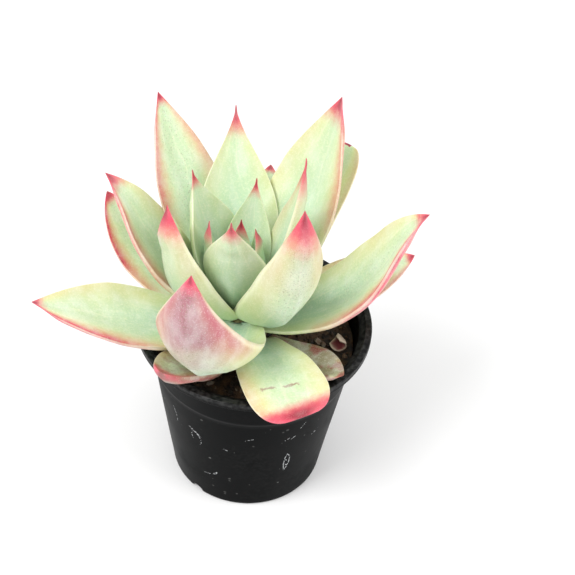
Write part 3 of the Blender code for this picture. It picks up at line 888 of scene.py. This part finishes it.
def crumb_shapes(count, low, high, seed, flatness=0.75):
    """Lumpy crumbs scattered on the mix: points and faces of all of them together."""
    work = bmesh.new()
    bmesh.ops.create_icosphere(work, subdivisions=1, radius=1.0)
    ball = np.array([v.co for v in work.verts])
    cells = [tuple(v.index for v in f.verts) for f in work.faces]
    work.free()
    pick = random.Random(seed)
    points, faces = [], []
    for _ in range(count):
        reach = (SOIL_RADIUS - 1.2 * MM) * math.sqrt(pick.random())
        azimuth = pick.uniform(0.0, 2 * math.pi)
        x, y = reach * math.cos(azimuth), reach * math.sin(azimuth)
        size = low + (high - low) * pick.random() ** 2.5
        stretch = np.array([pick.uniform(0.7, 1.4), pick.uniform(0.6, 1.1), flatness])
        bumps = np.array([pick.uniform(0.72, 1.2) for _ in ball])[:, None]
        spin = pick.uniform(0, FULL_TURN)
        turn = np.array(Matrix.Rotation(spin, 3, Vector((pick.random(), 0.3, 1.0))))
        shape = (ball * bumps * stretch) @ turn.T * size
        base = len(points)
        points += list(shape + (x, y, mix_height(x, y) + size * 0.3))
        faces += [tuple(base + i for i in face) for face in cells]
    return points, faces


class SUCCULENT_OT_add_mix(Operator):
    """Fills the pot with damp mix and strews crumbs, bark chips and a little grit on it"""

    bl_idname = "succulent.add_mix"
    bl_label = "Add Potting Mix"

    def execute(self, context):
        settings = context.scene.succulent_mix
        turns = 150
        radii = np.linspace(0.4 * MM, SOIL_RADIUS - 0.1 * MM, 58)
        points, faces = turned([(r, 0.0) for r in reversed(radii)], turns)
        points = [(x, y, mix_height(x, y)) for x, y, _ in points]
        depth, draft = 10.0 * MM, 0.93
        skirt = [(x * draft, y * draft, SOIL_BOX[1].z - depth) for x, y, _ in points[:turns]]
        base, centre = len(points), len(points) + turns
        points += [*skirt, (0.0, 0.0, mix_height(0.0, 0.0))]
        inner = base - turns
        for k in range(turns):
            n = (k + 1) % turns
            faces.append((base + k, base + n, n, k))
            faces.append((inner + k, inner + n, centre))
        faces.append(tuple(reversed(range(base, base + turns))))
        peat = earth_material("peat_damp", settings.dark, settings.brown, 0.95, 260.0)
        add_piece("mix_bed", points, faces, peat, "soil")
        kinds = (
            ("mix_crumbs", settings.crumbs, 0.35, 1.3, 11, settings.dark, settings.brown),
            ("mix_bark", settings.crumbs // 9, 0.6, 1.9, 12, settings.brown, settings.grit),
            ("mix_grit", settings.crumbs // 20, 0.25, 0.7, 13, settings.brown, settings.grit),
        )
        for name, count, low, high, seed, dark, pale in kinds:
            points, faces = crumb_shapes(count, low * MM, high * MM, seed)
            shade = earth_material(name + "_shade", dark, pale, 0.9, 420.0)
            piece = add_piece(name, points, faces, shade)
            piece.data.shade_flat()
        return {"FINISHED"}


class SUCCULENT_OT_add_stem(Operator):
    """Gives the short stem its green-brown skin"""

    bl_idname = "succulent.add_stem"
    bl_label = "Add Stem"

    def execute(self, context):
        settings = context.scene.succulent_mix
        bark = earth_material("stem_bark_skin", settings.brown, settings.stem, 0.8, 300.0)
        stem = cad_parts["stem"]
        stem.data.materials.clear()
        stem.data.materials.append(bark)
        return {"FINISHED"}


def scale_material(settings):
    made, wiring, shader = new_material("dried_scale_paper")
    place = wiring.place()
    rim, inside = wiring.attribute("rim"), wiring.attribute("inside")
    fibre = wiring.noise(wiring.stretched(place, (1.0, 0.2, 1.0)), 900.0, 3.0)
    outer = tuple(c * 0.55 for c in settings.scale_rim)
    skin = wiring.mix(inside, outer, settings.scale_inside)
    papery = wiring.times(rim, wiring.math("ADD", fibre, 0.4, clamp=True))
    skin = wiring.mix(papery, skin, settings.scale_rim)
    wiring.feed(shader.inputs["Base Color"], skin)
    shader.inputs["Roughness"].default_value = 0.6
    add_bump(wiring, shader, fibre, 0.5, 0.15 * MM)
    return made


class SUCCULENT_OT_add_scale(Operator):
    """Curls the dried scale that lies on the mix at the right"""

    bl_idname = "succulent.add_scale"
    bl_label = "Add Dried Scale"

    def execute(self, context):
        low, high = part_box("dried_bract")
        middle = (low + high) / 2
        bend, wide, thick = 3.0 * MM, 6.5 * MM, 0.5 * MM
        along_count, across_count = 44, 14
        turn = Matrix.Rotation(math.radians(35.0), 3, "Z")
        turn = turn @ Matrix.Rotation(math.radians(-12.0), 3, "Y")
        turn = turn @ Matrix.Rotation(math.radians(8.0), 3, "X")
        points, rim, inside = [], [], []
        for layer in (0, 1):
            for i in range(along_count):
                t = i / (along_count - 1)
                angle = math.radians(-150.0 + 235.0 * t)
                half = wide / 2 * (0.35 + 0.65 * math.sin(math.pi * (0.12 + 0.86 * t)))
                for j in range(across_count):
                    side = -1.0 + 2.0 * j / (across_count - 1)
                    ragged = noise.noise(Vector((t * 9.0, side * 2.0, 1.0))) * 0.35 * MM
                    reach = bend * (1.15 - 0.45 * t) - layer * thick + ragged - 0.4 * MM * side**2
                    spot = Vector((reach * math.cos(angle), half * side, reach * math.sin(angle)))
                    points.append(turn @ spot + middle)
                    rim.append(max(abs(side), abs(2 * t - 1)) ** 5)
                    inside.append(float(layer))
        faces = []
        sheet = along_count * across_count
        for i in range(along_count - 1):
            for j in range(across_count - 1):
                a = i * across_count + j
                b = a + across_count
                faces.append((a, a + 1, b + 1, b))
                faces.append((sheet + a, sheet + b, sheet + b + 1, sheet + a + 1))
        border = [i * across_count for i in range(along_count)]
        border += [(along_count - 1) * across_count + j for j in range(1, across_count)]
        border += [i * across_count + across_count - 1 for i in reversed(range(along_count - 1))]
        border += reversed(range(1, across_count - 1))
        for a, b in zip(border, border[1:] + border[:1]):
            faces.append((a, b, sheet + b, sheet + a))
        paper = scale_material(context.scene.succulent_mix)
        piece = add_piece("dried_scale", points, faces, paper, "dried_bract")
        set_attribute(piece, "rim", rim)
        set_attribute(piece, "inside", inside)
        return {"FINISHED"}


# Stage


def add_area(name, place, size, power, target):
    data = bpy.data.lights.new(name, "AREA")
    data.energy, data.size = power, size
    lamp = new_object(name, data)
    lamp.location = place
    lamp.rotation_mode = "QUATERNION"
    lamp.rotation_quaternion = (Vector(target) - Vector(place)).to_track_quat("-Z", "Y")


def add_camera(settings):
    """Looks along +Y and down on the plant, rolled a little."""
    e, roll = settings.elevation, settings.roll
    forward = Vector((0.0, math.cos(e), -math.sin(e)))
    level, lifted = Vector((1.0, 0.0, 0.0)), Vector((0.0, math.sin(e), math.cos(e)))
    right = math.cos(roll) * level + math.sin(roll) * lifted
    up = -math.sin(roll) * level + math.cos(roll) * lifted
    target = Vector((0.0, 0.0, 74.0 * MM)) + 12.6 * MM * right + 12.7 * MM * up
    data = bpy.data.cameras.new("camera")
    data.lens, data.sensor_width = settings.lens, 36.0
    camera = new_object("camera", data)
    place = target - forward * settings.distance
    camera.matrix_world = Matrix(
        [(right[k], up[k], -forward[k], place[k]) for k in range(3)] + [(0.0, 0.0, 0.0, 1.0)]
    )
    bpy.context.scene.camera = camera


class SUCCULENT_OT_add_stage(Operator):
    """Lays a plain pale floor and sets soft lights and the camera"""

    bl_idname = "succulent.add_stage"
    bl_label = "Add Stage"

    def execute(self, context):
        settings = context.scene.succulent_stage
        scene = context.scene
        mesh = bpy.data.meshes.new("floor")
        corners = [(x * 3.0, y * 3.0, 0.0) for x, y in ((-1, -1), (1, -1), (1, 1), (-1, 1))]
        mesh.from_pydata(corners, [], [(0, 1, 2, 3)])
        floor = new_object("floor", mesh)
        floor.location.z = CAD_BOX[0].z - 0.1 * MM
        made, _, shader = new_material("floor_matte")
        shader.inputs["Base Color"].default_value = (*settings.floor, 1.0)
        shader.inputs["Roughness"].default_value = 0.9
        mesh.materials.append(made)
        world = bpy.data.worlds.new("sky")
        world.use_nodes = True
        sky = world.node_tree.nodes["Background"]
        sky.inputs[0].default_value = (1.0, 1.0, 1.0, 1.0)
        sky.inputs[1].default_value = settings.sky
        scene.world = world
        aim = (0.0, 0.0, 0.09)
        add_area("key", (-0.45, -0.35, 0.75), 0.45, settings.key, aim)
        add_area("fill", (0.6, -0.2, 0.45), 0.5, settings.fill, aim)
        scene.view_settings.view_transform = "Standard"
        add_camera(settings)
        return {"FINISHED"}


class SUCCULENT_PT_panel(Panel):
    """Lists the sizes and colours and the steps that build the plant"""

    bl_label = "Succulent"
    bl_idname = "SUCCULENT_PT_panel"
    bl_space_type = "VIEW_3D"
    bl_region_type = "UI"
    bl_category = "Succulent"

    def draw(self, context):
        for group, _, operators in STEPS:
            box = self.layout.box()
            settings = getattr(context.scene, group)
            for key in settings.__annotations__:
                box.prop(settings, key)
            for operator in operators:
                box.operator(operator.bl_idname)


STEPS = (
    ("succulent_stage", SucculentStageSettings, (SUCCULENT_OT_add_stage,)),
    ("succulent_pot", SucculentPotSettings, (SUCCULENT_OT_add_pot,)),
    (
        "succulent_mix",
        SucculentMixSettings,
        (SUCCULENT_OT_add_mix, SUCCULENT_OT_add_stem, SUCCULENT_OT_add_scale),
    ),
    ("succulent_leaves", SucculentLeafSettings, (SUCCULENT_OT_add_leaves,)),
)
CLASSES = [kind for _, kind, _ in STEPS]
CLASSES += [operator for _, _, operators in STEPS for operator in operators]
CLASSES.append(SUCCULENT_PT_panel)


def register():
    for made in CLASSES:
        bpy.utils.register_class(made)
    for group, kind, _ in STEPS:
        setattr(bpy.types.Scene, group, PointerProperty(type=kind))


def unregister():
    for group, _, _ in STEPS:
        delattr(bpy.types.Scene, group)
    for made in reversed(CLASSES):
        bpy.utils.unregister_class(made)


def main():
    register()
    make_specks_group()
    make_mottle_group()
    make_earth_group()
    for _, _, operators in STEPS:
        for operator in operators:
            family, name = operator.bl_idname.split(".")
            getattr(getattr(bpy.ops, family), name)()


if __name__ == "__main__":
    main()
